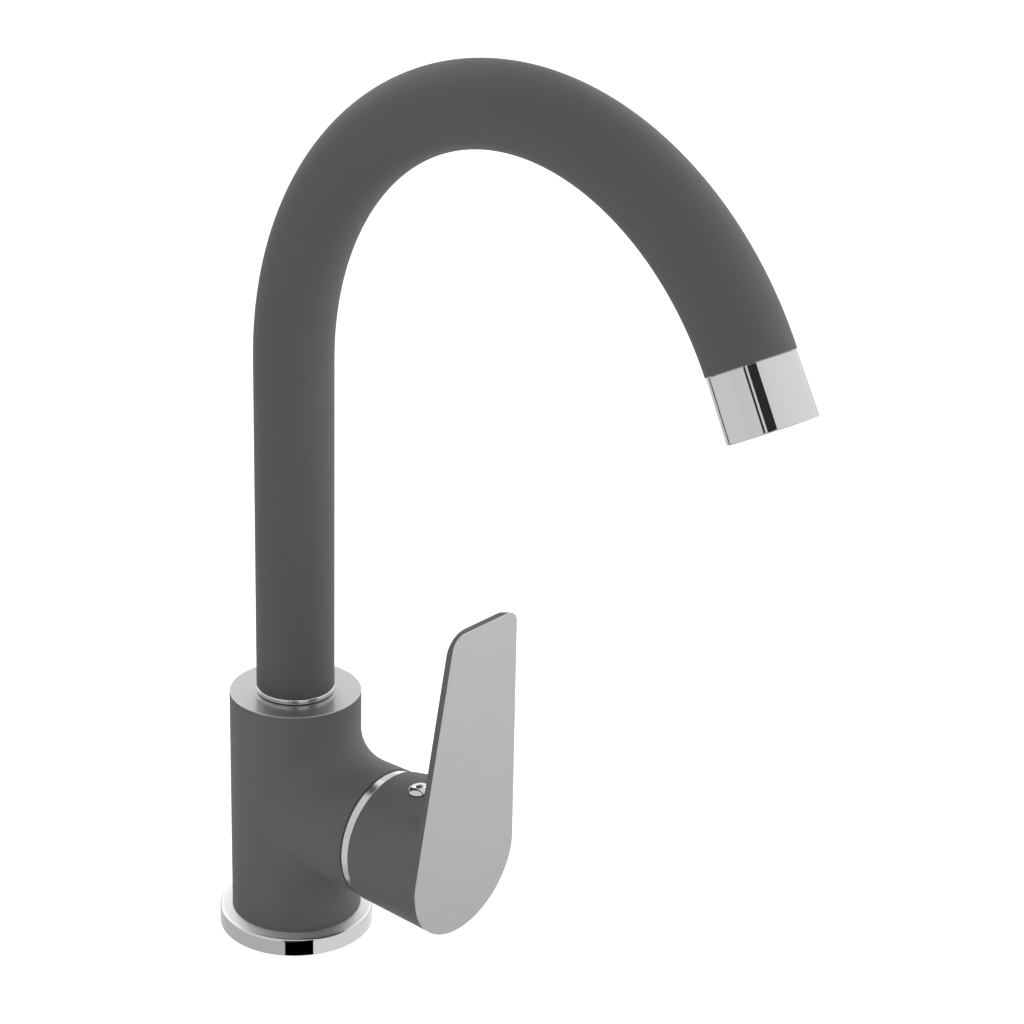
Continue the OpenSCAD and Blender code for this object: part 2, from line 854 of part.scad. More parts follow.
// Outline of the hub where it meets the blade: the blade's lower end with a flat top
module hub_outline() {
    corner_up = hub_top - hub_corner;
    hull() {
        intersection() {
            translate([0, blade_rise])
                circle(r = blade_r);
            translate([-2 * blade_r, -2 * blade_r])
                square([4 * blade_r, 2 * blade_r + corner_up]);
        }
        for (side = [-1, 1])
            translate([side * (side_x(corner_up) - hub_corner / cos(side_tilt)), corner_up])
                circle(r = hub_corner);
    }
}

module hub_shell() {
    difference() {
        hull() {
            on_branch()
                translate([0, 0, hub_rim])
                    cylinder(r = hub_r, h = 0.5);
            on_blade()
                translate([0, 0, -blade_t])
                    linear_extrude(blade_t - face_t)
                        hub_outline();
        }
        on_branch()
            translate([0, 0, hub_rim - over])
                cylinder(r = hub_bore_r, h = hub_floor - hub_rim + over);
    }
}

module lever_handle() {
    socket_w = spindle_w + 2 * seat_fit;
    web_sink = 0.6;
    color(paint)
        difference() {
            union() {
                hub_shell();
                on_blade()
                    translate([0, 0, -blade_t])
                        linear_extrude(blade_t - face_t)
                            blade_outline();
                on_branch()
                    translate([0, 0, boss_start]) {
                        cylinder(r = boss_r, h = hub_floor - boss_start + over);
                        rotate([0, 0, plug_turn])
                            translate([-web_half, 0, 0])
                                cube([2 * web_half, hub_bore_r + web_sink, hub_floor - boss_start + over]);
                    }
            }
            on_branch() {
                translate([-socket_w / 2, -socket_w / 2, boss_start - over])
                    cube([socket_w, socket_w, spindle_end + flat_gap - boss_start + over]);
                intersection() {
                    translate([0, 0, pivot_at])
                        sphere(r = relief_r);
                    translate([0, 0, hub_rim - over])
                        cylinder(r = hub_r, h = boss_start - hub_rim);
                }
            }
            on_screw() {
                cylinder(d = grub_d + 2 * seat_fit, h = plug_seat + over);
                translate([0, 0, plug_seat])
                    cylinder(r = plug_r + seat_fit, h = plug_top - plug_seat + over);
            }
        }
}

module lever_face() {
    color(chrome)
        on_blade()
            translate([0, 0, -face_t])
                linear_extrude(face_t)
                    blade_outline();
}

module lever_grub_screw() {
    color(steel)
        on_screw()
            translate([0, 0, grub_start])
                difference() {
                    union() {
                        cylinder(r1 = grub_tip_r, r2 = grub_d / 2, h = grub_tip_h);
                        translate([0, 0, grub_tip_h])
                            cylinder(d = grub_d, h = grub_h - grub_tip_h);
                    }
                    translate([0, 0, grub_h - hex_key * grub_d])
                        cylinder(d = hex_key * grub_d, h = grub_d, $fn = 6);
                }
}

module index_plug() {
    rim_chamfer = [0.3, 0.25];
    rim_flat = 0.2;
    dome_base = plug_top - plug_dome;
    rim_up = dome_base - rim_chamfer.y;
    color(chrome)
        on_screw()
            difference() {
                rotate_extrude()
                    polygon(concat(
                        [
                            [0, plug_seat],
                            [plug_r, plug_seat],
                            [plug_r, rim_up],
                            [plug_r - rim_chamfer.x, dome_base]
                        ],
                        dome(plug_r - rim_chamfer.x - rim_flat, dome_base, plug_dome)
                    ));
                translate([0, 0, dome_base])
                    cylinder(r = mark_r + pass_gap / 10, h = plug_dome + over);
            }
}

module index_mark() {
    color(blue)
        on_screw()
            rotate_extrude()
                polygon(concat(
                    [[0, plug_top - plug_dome], [mark_r, plug_top - plug_dome]],
                    dome(mark_r, plug_top, mark_rise)
                ));
}

// Section of the spout tube
module tube_section() {
    difference() {
        circle(r = tube_r);
        circle(r = tube_in_r);
    }
}

module spout_tube() {
    color(paint)
        on_spout() {
            translate([0, 0, tube_z])
                linear_extrude(riser_top - tube_z)
                    tube_section();
            translate([0, -bend_r, riser_top])
                rotate([90, 0, 90])
                    rotate_extrude(angle = bend_angle)
                        translate([bend_r, 0])
                            tube_section();
        }
}

module spout_foot_ring() {
    outer = tube_r + foot_ring_lip;
    top = ring_z + foot_ring_h;
    color(chrome)
        on_spout()
            rotate_extrude()
                polygon([
                    [tube_in_r, ring_z],
                    [outer - joint_chamfer, ring_z],
                    [outer, ring_z + joint_chamfer],
                    [outer, top - joint_chamfer],
                    [outer - joint_chamfer, top],
                    [tube_in_r, top]
                ]);
}

module spout_stem() {
    color(brass)
        on_spout()
            difference() {
                union() {
                    translate([0, 0, stem_z])
                        cylinder(r = stem_r, h = cap_top - stem_z + over);
                    translate([0, 0, ring_z])
                        cylinder(r = grip_r, h = stem_grip);
                }
                translate([0, 0, stem_z - over])
                    cylinder(d = stem_bore, h = ring_z + stem_grip - stem_z + 2 * over);
                for (z = slide_ring_zs)
                    translate([0, 0, z])
                        ring(stem_r + over, slide_groove_r, slide_ring_h + 0.1);
                for (z = stem_seal_zs)
                    translate([0, 0, z])
                        ring(stem_r + over, seal_groove_r, stem_seal_groove);
                translate([0, 0, lock_z - lock_tip_d / 2 - 0.4])
                    ring(stem_r + over, lock_groove_r, lock_tip_d + 0.8);
            }
}

module stem_o_rings() {
    color(rubber)
        on_spout()
            for (z = stem_seal_zs)
                translate([0, 0, z + stem_seal_groove / 2])
                    o_ring(seal_groove_r + stem_seal_t / 2, stem_seal_t - 0.02);
}

module stem_slide_rings() {
    color(pale_plastic)
        on_spout()
            for (z = slide_ring_zs)
                translate([0, 0, z + 0.05])
                    ring(bearing_r, slide_groove_r + 0.05, slide_ring_h);
}

module outlet_nipple() {
    color(brass)
        at_outlet()
            translate([0, 0, -nipple_depth])
                difference() {
                    cylinder(r1 = grip_r - nipple_taper, r2 = grip_r, h = nipple_depth);
                    translate([0, 0, -over])
                        cylinder(r = washer_hole_r, h = nipple_depth + 2 * over);
                    translate([0, 0, nipple_depth - sleeve_thread_h - washer_t])
                        cylinder(r = nipple_bore_r, h = nipple_depth);
                }
}

module aerator_sleeve() {
    outer = sleeve_d / 2;
    mouth_r = outer + sleeve_flare;
    lift = 0.1;
    color(chrome)
        at_outlet()
            difference() {
                rotate_extrude()
                    polygon(concat(
                        [
                            [sleeve_bore_r - sleeve_lip_w, sleeve_h],
                            [sleeve_bore_r - sleeve_lip_w, insert_end],
                            [sleeve_bore_r, insert_end],
                            [sleeve_bore_r, -sleeve_thread_h],
                            [sleeve_thread_d / 2, -sleeve_thread_h],
                            [sleeve_thread_d / 2, lift],
                            [outer - joint_chamfer, lift],
                            [outer, lift + joint_chamfer]
                        ],
                        arc([mouth_r - sleeve_round, sleeve_h - sleeve_round], sleeve_round, 0, 90)
                    ));
                // Two flats inside the mouth's lip for the key that unscrews it
                for (side = [-1, 1])
                    translate([side * (sleeve_bore_r - sleeve_lip_w), 0, sleeve_h])
                        cube([1.2, 4, 1.6], center = true);
            }
}

module aerator_washer() {
    color(rubber)
        at_outlet()
            translate([0, 0, -sleeve_thread_h - washer_t])
                ring(nipple_bore_r - seat_fit, washer_hole_r, washer_t);
}

// Places children on rings of holes round the centre
module hole_rings(rings, pitch) {
    children();
    for (k = [1:rings], i = [0:6 * k - 1])
        rotate([0, 0, 60 * i / k])
            translate([k * pitch, 0, 0])
                children();
}

module aerator_insert() {
    grid_t = 3;
    pitch = (insert_r - 2) / 3.5;
    color(pale_plastic)
        at_outlet()
            translate([0, 0, insert_start])
                difference() {
                    cylinder(r = insert_r, h = insert_h);
                    translate([0, 0, -over])
                        cylinder(r = insert_r - 1, h = insert_h - grid_t + over);
                    translate([0, 0, insert_h - grid_t - over])
                        hole_rings(3, pitch)
                            cylinder(r = 0.4 * pitch, h = grid_t + 2 * over, $fn = 24);
                }
}

module aerator_screens() {
    pitch = (insert_r - 1.2) / 3.5;
    color(steel)
        at_outlet()
            for (layer = [0, 1])
                translate([0, 0, insert_start - (layer + 1) * (screen_t + screen_gap)])
                    difference() {
                        cylinder(r = insert_r, h = screen_t);
                        translate([0, 0, -over])
                            hole_rings(3, pitch)
                                cylinder(r = 0.3 * pitch, h = screen_t + 2 * over, $fn = 16);
                    }
}

mixer_body();
base_flange();
deck_gasket();
top_cap();
spout_lock_screw();
collar_ring();
cartridge_base();
base_seals();
disc_seals();
fixed_disc();
cartridge_housing();
cartridge_nut();
cartridge_rotor();
lever_pin();
disc_carrier();
moving_disc();
spindle();
lever_handle();
lever_face();
lever_grub_screw();
index_plug();
index_mark();
spout_tube();
spout_foot_ring();
spout_stem();
stem_o_rings();
stem_slide_rings();
outlet_nipple();
aerator_sleeve();
aerator_washer();
aerator_insert();
aerator_screens();
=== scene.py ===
from math import asin, atan2, cos, pi, radians, sin, sqrt, tan

import bmesh
import bpy
from mathutils import Matrix, Vector


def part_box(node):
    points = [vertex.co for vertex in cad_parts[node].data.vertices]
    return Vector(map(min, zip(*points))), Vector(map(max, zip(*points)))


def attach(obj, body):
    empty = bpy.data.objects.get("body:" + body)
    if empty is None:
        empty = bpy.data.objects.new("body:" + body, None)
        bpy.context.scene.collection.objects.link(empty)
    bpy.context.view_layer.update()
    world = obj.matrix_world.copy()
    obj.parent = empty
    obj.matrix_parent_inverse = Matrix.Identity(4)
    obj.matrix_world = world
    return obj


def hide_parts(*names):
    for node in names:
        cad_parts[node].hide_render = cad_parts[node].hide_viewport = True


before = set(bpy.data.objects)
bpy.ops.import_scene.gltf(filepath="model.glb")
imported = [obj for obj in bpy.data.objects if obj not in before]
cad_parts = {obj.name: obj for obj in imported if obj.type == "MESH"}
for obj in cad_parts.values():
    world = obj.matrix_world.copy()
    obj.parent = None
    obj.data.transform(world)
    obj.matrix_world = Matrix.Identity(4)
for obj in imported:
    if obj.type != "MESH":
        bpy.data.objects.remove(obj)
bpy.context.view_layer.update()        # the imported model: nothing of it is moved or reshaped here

# Kitchen mixer tap with a gooseneck spout. Metres, +Z up, the branch and lever point along -Y.

mm = 0.001
hair = 1e-6        # points closer than this are one
scene = bpy.context.scene

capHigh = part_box("top_cap")[1]
bodyLow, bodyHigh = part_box("mixer_body")
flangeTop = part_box("base_flange")[1].z
collarLow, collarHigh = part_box("collar_ring")

bodyRadius = capHigh.x
bodyTop = bodyHigh.z
branchEnd = -bodyLow.y
branchZ = (collarLow.z + collarHigh.z) / 2

spout = {"swing": -5.6, "bend": 107.2 * mm, "angle": 151.7, "riserTop": 219.4 * mm}
lever = {"faceAt": 80.9 * mm, "lean": 4.5, "screwAt": 62.8 * mm, "screwTurn": 8}

# Frames in which the pieces are modelled, with z along each one's own axis
upright = Matrix.Identity(4)
onBranch = Matrix.Translation((0, 0, branchZ)) @ Matrix.Rotation(radians(90), 4, "X")
onBlade = (onBranch @ Matrix.Translation((0, 0, lever["faceAt"]))
           @ Matrix.Rotation(radians(lever["lean"]), 4, "X"))
onSpout = Matrix.Rotation(radians(spout["swing"]), 4, "Z")
atOutlet = (onSpout @ Matrix.Translation((0, -spout["bend"], spout["riserTop"]))
            @ Matrix.Rotation(radians(spout["angle"]), 4, "X")
            @ Matrix.Translation((0, spout["bend"], 0)))
onScrew = (onBranch @ Matrix.Rotation(radians(lever["screwTurn"]), 4, "Z")
           @ Matrix.Translation((0, 0, lever["screwAt"])) @ Matrix.Rotation(radians(-90), 4, "X"))


# Shader sums written as plain expressions

class Wire:
    def __init__(self, tree, socket):
        self.tree = tree
        self.socket = socket

    def reckon(self, operation, *values):
        node = self.tree.nodes.new("ShaderNodeMath")
        node.operation = operation
        for slot, value in zip(node.inputs, values):
            if isinstance(value, Wire):
                self.tree.links.new(value.socket, slot)
            else:
                slot.default_value = value
        return Wire(self.tree, node.outputs[0])

    def __add__(self, other):
        return self.reckon("ADD", self, other)

    def __radd__(self, other):
        return self.reckon("ADD", other, self)

    def __sub__(self, other):
        return self.reckon("SUBTRACT", self, other)

    def __rsub__(self, other):
        return self.reckon("SUBTRACT", other, self)

    def __mul__(self, other):
        return self.reckon("MULTIPLY", self, other)

    def __rmul__(self, other):
        return self.reckon("MULTIPLY", other, self)

    def clipped(self):
        return self.reckon("MINIMUM", self.reckon("MAXIMUM", self, 0.0), 1.0)


class Board:
    # A material's or the world's node tree, with one way to add a node
    def __init__(self, owner):
        owner.use_nodes = True
        self.tree = owner.node_tree
        self.tree.nodes.clear()

    def add(self, kind, settings=None, **sockets):
        node = self.tree.nodes.new("ShaderNode" + kind)
        for name, value in (settings or {}).items():
            setattr(node, name, value)
        for name, value in sockets.items():
            slot = self.slotOf(node, name)
            if isinstance(value, Wire):
                self.tree.links.new(value.socket, slot)
            else:
                slot.default_value = value
        return node

    def slotOf(self, node, name):
        wanted = name.replace("_", " ").lower()
        for slot in node.inputs:
            if slot.enabled and slot.name.lower() == wanted:
                return slot
        raise KeyError(name + " is no socket of " + node.bl_idname)

    def out(self, node, name=0):
        return Wire(self.tree, node.outputs[name])

    def noise(self, place, scale, detail=2.0, roughness=0.5):
        node = self.add("TexNoise", Vector=place, Scale=scale, Detail=detail, Roughness=roughness)
        return self.out(node)

    def blend(self, share, first, second):
        node = self.add("Mix", {"data_type": "RGBA"}, Factor=share, A=first, B=second)
        return self.out(node, 2)


def shade(rgb):
    return (rgb[0], rgb[1], rgb[2], 1.0)


def newFinish(name):
    material = bpy.data.materials.new(name)
    board = Board(material)
    place = board.out(board.add("TexCoord"), "Object")
    return material, board, place


def finishShader(board, **sockets):
    shader = board.add("BsdfPrincipled", **sockets)
    board.add("OutputMaterial", Surface=board.out(shader))


def bumped(board, height, distance):
    return board.out(board.add("Bump", Height=height, Distance=distance, Strength=1.0))


def heightOf(board, place):
    return board.out(board.add("SeparateXYZ", Vector=place), "Z")


noiseMiddle = 0.5


paint = {
    "tube": ((0.081, 0.0814, 0.0822), (0.087, 0.0874, 0.0882)),
    # The castings' tone is lighter than the tube's: partly their own paint, partly painted light that
    # lifts the shade which the branch, hub and blade cast on the body
    "casting": ((0.105, 0.1053, 0.1060), (0.112, 0.1123, 0.1130)),
    "roughness": 0.60, "roughnessSpread": 0.10, "ior": 1.33,
    "cloudScale": 28, "cloudShare": 0.7, "fleckScale": 420, "grainScale": 1500,
    "grainDepth": 0.012 * mm,
}


def mattPaint(name, tones):
    # Matt sprayed paint: soft clouds in the tone, a fine dry grain that breaks up the gloss
    material, board, place = newFinish(name)
    clouds = board.noise(place, paint["cloudScale"], detail=3.0)
    grain = board.noise(place, paint["grainScale"], roughness=0.6)
    flecks = board.noise(place, paint["fleckScale"], detail=4.0, roughness=0.65)
    mottle = clouds * paint["cloudShare"] + flecks * (1 - paint["cloudShare"])
    tone = board.blend(mottle.clipped(), shade(tones[0]), shade(tones[1]))
    gloss = paint["roughness"] + (flecks - noiseMiddle) * paint["roughnessSpread"]
    finishShader(board, Base_Color=tone, Roughness=gloss, IOR=paint["ior"],
                 Normal=bumped(board, grain, paint["grainDepth"]))
    return material


chrome = {
    "colour": (0.560, 0.566, 0.572), "dull": (0.540, 0.545, 0.550),
    "roughness": 0.035, "smudge": 0.05, "smudgeFrom": 0.45, "smudgeScale": 60,
    "rippleScale": 90, "rippleDepth": 0.0025 * mm, "collarRoughness": 0.22,
    # the flange's satin top, lighter in colour as painted light since it mirrors the dark body, and
    # where its wall ends
    "topRoughness": 0.55, "topPaintedLight": (0.70, 0.705, 0.71), "topFrom": 6.2 * mm, "topTo": 6.6 * mm,
    # the cap's satin, its clear coat, and how far the body's paint comes up
    "capRoughness": 0.42, "capTone": 0.80, "capCoat": 1.0, "coatRoughness": 0.04,
    "paintTo": 93.84 * mm, "paintFade": 0.06 * mm,
}


def polishedChrome(name, roughness, seed=0.0, top=False, cap=False):
    # Polished plate: faint hand smudges in the gloss and the slow ripple of a buffed surface.
    # The flange's top is left satin, above its polished wall, and its colour is lighter there: painted
    # light, since the top mirrors the dark body. The cap is satin under a clear coat, and the body's
    # paint comes up over its thin wall.
    material, board, place = newFinish(name)
    shifted = board.out(board.add("Mapping", Vector=place, Location=(seed, seed, seed)))
    smudges = board.noise(shifted, chrome["smudgeScale"], detail=4.0, roughness=0.6)
    ripple = board.noise(shifted, chrome["rippleScale"], detail=1.0)
    share = chrome["capTone"] if cap else 1.0
    light, dull = [tuple(part * share for part in chrome[key]) for key in ("colour", "dull")]
    metal, coat = 1.0, 0.0
    tone = board.blend(smudges, shade(light), shade(dull))
    gloss = roughness + (smudges - chrome["smudgeFrom"]).clipped() * chrome["smudge"]
    if top:
        fade = chrome["topTo"] - chrome["topFrom"]
        onTop = ((heightOf(board, place) - chrome["topFrom"]) * (1 / fade)).clipped()
        gloss = gloss + onTop * (chrome["topRoughness"] - roughness)
        # the top's lighter colour is painted light, as the top mirrors the dark body
        tone = board.blend(onTop, tone, shade(chrome["topPaintedLight"]))
    if cap:
        metal = ((heightOf(board, place) - chrome["paintTo"]) * (1 / chrome["paintFade"])).clipped()
        tone = board.blend(metal, shade(paint["casting"][0]), tone)
        gloss = gloss + (1.0 - metal) * (paint["roughness"] - roughness)
        coat = metal * chrome["capCoat"]
    finishShader(board, Base_Color=tone, Roughness=gloss, Metallic=metal, Coat_Weight=coat,
                 Coat_Roughness=chrome["coatRoughness"],
                 Normal=bumped(board, ripple, chrome["rippleDepth"]))
    return material


satin = {
    "colour": (0.487, 0.499, 0.505), "pale": (0.504, 0.516, 0.522),
    "roughness": 0.34, "roughnessSpread": 0.08, "grainScale": 2600, "grainDepth": 0.004 * mm,
    "cloudScale": 35,
}


def satinMetal(name):
    # Bead-blasted and plated face: an even satin with a very fine tooth
    material, board, place = newFinish(name)
    clouds = board.noise(place, satin["cloudScale"], detail=3.0)
    tooth = board.noise(place, satin["grainScale"], roughness=0.6)
    tone = board.blend(clouds, shade(satin["colour"]), shade(satin["pale"]))
    gloss = satin["roughness"] + (tooth - noiseMiddle) * satin["roughnessSpread"]
    finishShader(board, Base_Color=tone, Roughness=gloss, Metallic=1.0,
                 Normal=bumped(board, tooth, satin["grainDepth"]))
    return material


turning = {"marks": (40.0, 40.0, 2500.0), "depth": 0.004 * mm, "roughnessSpread": 0.15}


def turnedMetal(name, light, dark, roughness):
    # Bare machined metal: fine turning marks round the upright axis
    material, board, place = newFinish(name)
    squeezed = board.out(board.add("Mapping", Vector=place, Scale=turning["marks"]))
    marks = board.noise(squeezed, 1.0, detail=3.0)
    tone = board.blend(marks, shade(dark), shade(light))
    gloss = roughness + (marks - noiseMiddle) * turning["roughnessSpread"]
    finishShader(board, Base_Color=tone, Roughness=gloss, Metallic=1.0,
                 Normal=bumped(board, marks, turning["depth"]))
    return material


moulding = {"mottleScale": 220, "darkest": 0.86, "grainScale": 1800, "grainDepth": 0.01 * mm,
            "roughnessSpread": 0.12}


def mouldedPlastic(name, colour, roughness, coat=0.0):
    # Moulded or pressed piece: slight mottling and a fine moulded grain
    material, board, place = newFinish(name)
    mottle = board.noise(place, moulding["mottleScale"], detail=3.0)
    grain = board.noise(place, moulding["grainScale"])
    darker = tuple(part * moulding["darkest"] for part in colour)
    tone = board.blend(mottle, shade(darker), shade(colour))
    gloss = roughness + (mottle - noiseMiddle) * moulding["roughnessSpread"]
    finishShader(board, Base_Color=tone, Roughness=gloss, Coat_Weight=coat,
                 Normal=bumped(board, grain, moulding["grainDepth"]))
    return material


finishes = {
    "dark_paint": mattPaint("dark_paint", paint["tube"]),
    # body and lever take the lighter casting tone, which holds painted light against the shade on them
    "body_paint": mattPaint("body_paint", paint["casting"]),
    "lever_paint": mattPaint("lever_paint", paint["casting"]),
    "chrome": polishedChrome("chrome", chrome["roughness"]),
    "cap_chrome": polishedChrome("cap_chrome", chrome["capRoughness"], seed=3.0, cap=True),
    "collar_chrome": polishedChrome("collar_chrome", chrome["collarRoughness"], seed=5.0),
    "flange_chrome": polishedChrome("flange_chrome", chrome["roughness"], seed=7.0, top=True),
    "satin_face": satinMetal("satin_face"),
    "steel": turnedMetal("steel", (0.62, 0.63, 0.65), (0.50, 0.51, 0.53), 0.30),
    "brass": turnedMetal("brass", (0.78, 0.62, 0.30), (0.66, 0.50, 0.22), 0.28),
    "black_rubber": mouldedPlastic("black_rubber", (0.022, 0.022, 0.024), 0.65),
    "white_plastic": mouldedPlastic("white_plastic", (0.82, 0.82, 0.79), 0.42),
    "grey_plastic": mouldedPlastic("grey_plastic", (0.27, 0.29, 0.32), 0.45),
    "ceramic": mouldedPlastic("ceramic", (0.86, 0.86, 0.83), 0.22, coat=0.4),
    "blue_mark": mouldedPlastic("blue_mark", (0.018, 0.020, 0.165), 0.25, coat=0.6),
}
print("finishes made:", len(finishes))

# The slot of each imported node, whose finish it takes
slotOfNode = {
    "deck_gasket": "black_rubber", "spout_lock_screw": "steel", "cartridge_base": "grey_plastic",
    "base_seals": "black_rubber", "disc_seals": "black_rubber", "fixed_disc": "ceramic",
    "cartridge_housing": "white_plastic", "cartridge_nut": "brass", "cartridge_rotor": "grey_plastic",
    "lever_pin": "steel", "disc_carrier": "white_plastic", "moving_disc": "ceramic",
    "spindle": "steel", "lever_grub_screw": "steel", "index_mark": "blue_mark",
    "spout_stem": "brass", "stem_o_rings": "black_rubber", "stem_slide_rings": "white_plastic",
    "outlet_nipple": "brass", "aerator_washer": "black_rubber", "aerator_insert": "white_plastic",
    "aerator_screens": "steel",
    "mixer_body": "dark_paint", "spout_tube": "dark_paint", "lever_handle": "lever_paint",
    "base_flange": "chrome", "top_cap": "chrome", "collar_ring": "chrome",
    "spout_foot_ring": "chrome", "aerator_sleeve": "chrome", "index_plug": "chrome",
    "lever_face": "satin_face",
}
for name, slot in slotOfNode.items():
    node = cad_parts[name]
    node.data.materials.clear()
    node.data.materials.append(finishes[slot])


# Modelling helpers

sharpFrom = {"shading": 30, "bevel": 50}        # the angle from which an edge counts as sharp


def letGo():
    if bpy.context.object and bpy.context.object.mode == "EDIT":
        bpy.ops.object.mode_set(mode="OBJECT")
    bpy.ops.object.select_all(action="DESELECT")


def startCircle(name, count, radius=10 * mm):
    letGo()
    bpy.ops.mesh.primitive_circle_add(vertices=count, radius=radius, fill_type="NOTHING")
    piece = bpy.context.object
    piece.name = name
    piece.data.name = name
    return piece


def pick(test):
    # In edit mode: selects the vertices that pass the test, and the edges and faces between them
    edit = bmesh.from_edit_mesh(bpy.context.object.data)
    for face in edit.faces:
        face.select = False
    for edge in edit.edges:
        edge.select = False
    for vert in edit.verts:
        vert.select = test(vert.co)
    edit.select_flush(True)
    bmesh.update_edit_mesh(bpy.context.object.data)


def cleanUp():
    bpy.ops.mesh.select_all(action="SELECT")
    bpy.ops.mesh.remove_doubles(threshold=hair)
    bpy.ops.mesh.normals_make_consistent(inside=False)


def finishPiece(piece, place, body, slot, node, finish=None):
    # Puts the place into the mesh, shades it and hands it to the body that it rides on
    letGo()
    piece.data.transform(place @ piece.matrix_basis)
    piece.matrix_basis = Matrix.Identity(4)
    piece.select_set(True)
    bpy.context.view_layer.objects.active = piece
    bpy.ops.object.shade_smooth_by_angle(angle=radians(sharpFrom["shading"]))
    piece.data.materials.clear()
    piece.data.materials.append(finishes[finish or slot])
    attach(piece, body)
    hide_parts(node)
    print("made", piece.name, len(piece.data.polygons), "faces")


turnedEdge = {"support": 0.08, "roundSteps": 6}        # mm beyond a round, and the steps in it


def supported(outline):
    # Adds a point on either side of each rounded corner, which keeps the flats flat in the shading
    points = []
    for k, (radius, height, width) in enumerate(outline):
        corner = Vector((radius, height))
        reach = width + turnedEdge["support"]
        before, after = [Vector(outline[(k + way) % len(outline)][:2]) for way in (-1, 1)]
        if width:
            points.append((*(corner + (before - corner).normalized() * reach), 0))
        points.append((radius, height, width))
        if width:
            points.append((*(corner + (after - corner).normalized() * reach), 0))
    return points


def turned(name, section, steps=192):
    # A turned ring: its section, corner by corner as (radius, height, round) in mm, spun about z
    outline = supported(section)
    onAxis = section[0][0] == 0
    piece = startCircle(name, len(outline))
    for vert, (radius, height, _) in zip(piece.data.vertices, outline):
        vert.co = (radius * mm, 0, height * mm)
    bpy.ops.object.mode_set(mode="EDIT")
    if onAxis:
        pick(lambda at: abs(at.x) < hair)
        bpy.ops.mesh.delete(type="EDGE_FACE")
    for radius, height, width in outline:
        if width:
            corner = Vector((radius * mm, 0, height * mm))
            pick(lambda at: (at - corner).length < hair)
            bpy.ops.mesh.bevel(offset=width * mm, segments=turnedEdge["roundSteps"], affect="VERTICES")
    bpy.ops.mesh.select_all(action="SELECT")
    bpy.ops.mesh.spin(steps=steps, angle=2 * pi, center=(0, 0, 0), axis=(0, 0, 1))
    cleanUp()
    letGo()
    return piece


def swept(name, loops):
    # A skin through closed loops of points: each new loop is extruded from the last and put in place
    piece = startCircle(name, len(loops[0]))
    bpy.ops.object.mode_set(mode="EDIT")
    edit = bmesh.from_edit_mesh(piece.data)
    step = edit.verts.layers.int.new("step")
    edit.verts.ensure_lookup_table()
    for index, vert in enumerate(edit.verts):
        vert[step] = index
        vert.co = loops[0][index]
        vert.select = True
    edit.select_flush(True)
    bmesh.update_edit_mesh(piece.data)
    for loop in loops[1:]:
        bpy.ops.mesh.extrude_region_move()
        edit = bmesh.from_edit_mesh(piece.data)
        step = edit.verts.layers.int["step"]
        for vert in edit.verts:
            if vert.select:
                vert.co = loop[vert[step]]
        bmesh.update_edit_mesh(piece.data)
    return piece


def closedSweep(name, loops):
    # The same, with both ends filled. The last loop is still selected when it comes from the sweep.
    piece = swept(name, loops)
    bpy.ops.mesh.edge_face_add()
    pick(lambda at: min((at - point).length for point in loops[0]) < hair)
    bpy.ops.mesh.edge_face_add()
    cleanUp()
    letGo()
    return piece


def addModifier(piece, kind, **settings):
    letGo()
    piece.select_set(True)
    bpy.context.view_layer.objects.active = piece
    modifier = piece.modifiers.new(kind.lower(), kind)
    for name, value in settings.items():
        setattr(modifier, name, value)
    bpy.ops.object.modifier_apply(modifier=modifier.name)


def softened(piece, width):
    # Takes the sharpness off its edges
    addModifier(piece, "BEVEL", width=width, segments=2, limit_method="ANGLE",
                angle_limit=radians(sharpFrom["bevel"]))


def shaped(piece, tool, operation="DIFFERENCE"):
    # Cuts the tool out of the piece, or joins it on, and does away with the tool
    addModifier(piece, "BOOLEAN", operation=operation, solver="EXACT", object=tool)
    bpy.data.objects.remove(tool)


def rod(place, x, y, radius, low, high):
    # A round bar in mm along z of the place, to cut or join with
    letGo()
    bpy.ops.mesh.primitive_cylinder_add(vertices=96, radius=radius * mm, depth=(high - low) * mm,
                                        location=(x * mm, y * mm, (low + high) / 2 * mm))
    tool = bpy.context.object
    tool.data.transform(place @ tool.matrix_basis)
    tool.matrix_basis = Matrix.Identity(4)
    return tool


def block(place, low, high):
    # A bar with flat sides between two corners in mm, to cut or join with
    letGo()
    bpy.ops.mesh.primitive_cube_add(size=1)
    tool = bpy.context.object
    low, high = Vector(low) * mm, Vector(high) * mm
    size = Matrix.Diagonal((*(high - low), 1.0))
    tool.data.transform(place @ Matrix.Translation((low + high) / 2) @ size)
    return tool


# Body: an upright cylinder and a branch, with a blend that a ball rolls round the joint

bodyCasting = {
    "branchRadius": 23.6 * mm, "blend": 14 * mm, "spigotStep": 2.2 * mm,
    "round": 256, "wallSteps": 20, "blendSteps": 18, "branchSteps": 6,
    "topCorner": 19, "footCorner": 20, "edgeRound": 0.2 * mm,
    # round hollows in mm: x, y, radius, from, to
    "upright": {
        "stem_socket": (0, 0, 12.10, 70.0, 95.0),
        "cap_seat": (0, 0, 16.00, 90.5, 95.0),
        "fixing_stud": (0, 11.5, 3.40, 0.0, 16.0),
        "left_inlet": (-9, -6, 4.50, 0.0, 13.0),
        "right_inlet": (9, -6, 4.50, 0.0, 13.0),
    },
    "alongBranch": {
        "cartridge_room": (0, 0, 17.60, 14.0, 45.0),
        "nut_thread": (0, 0, 19.00, 35.8, 45.0),
    },
    "lockHole": (0, 0, 2.55, 8.0, 25.0), "lockDown": 8.8 * mm,
}


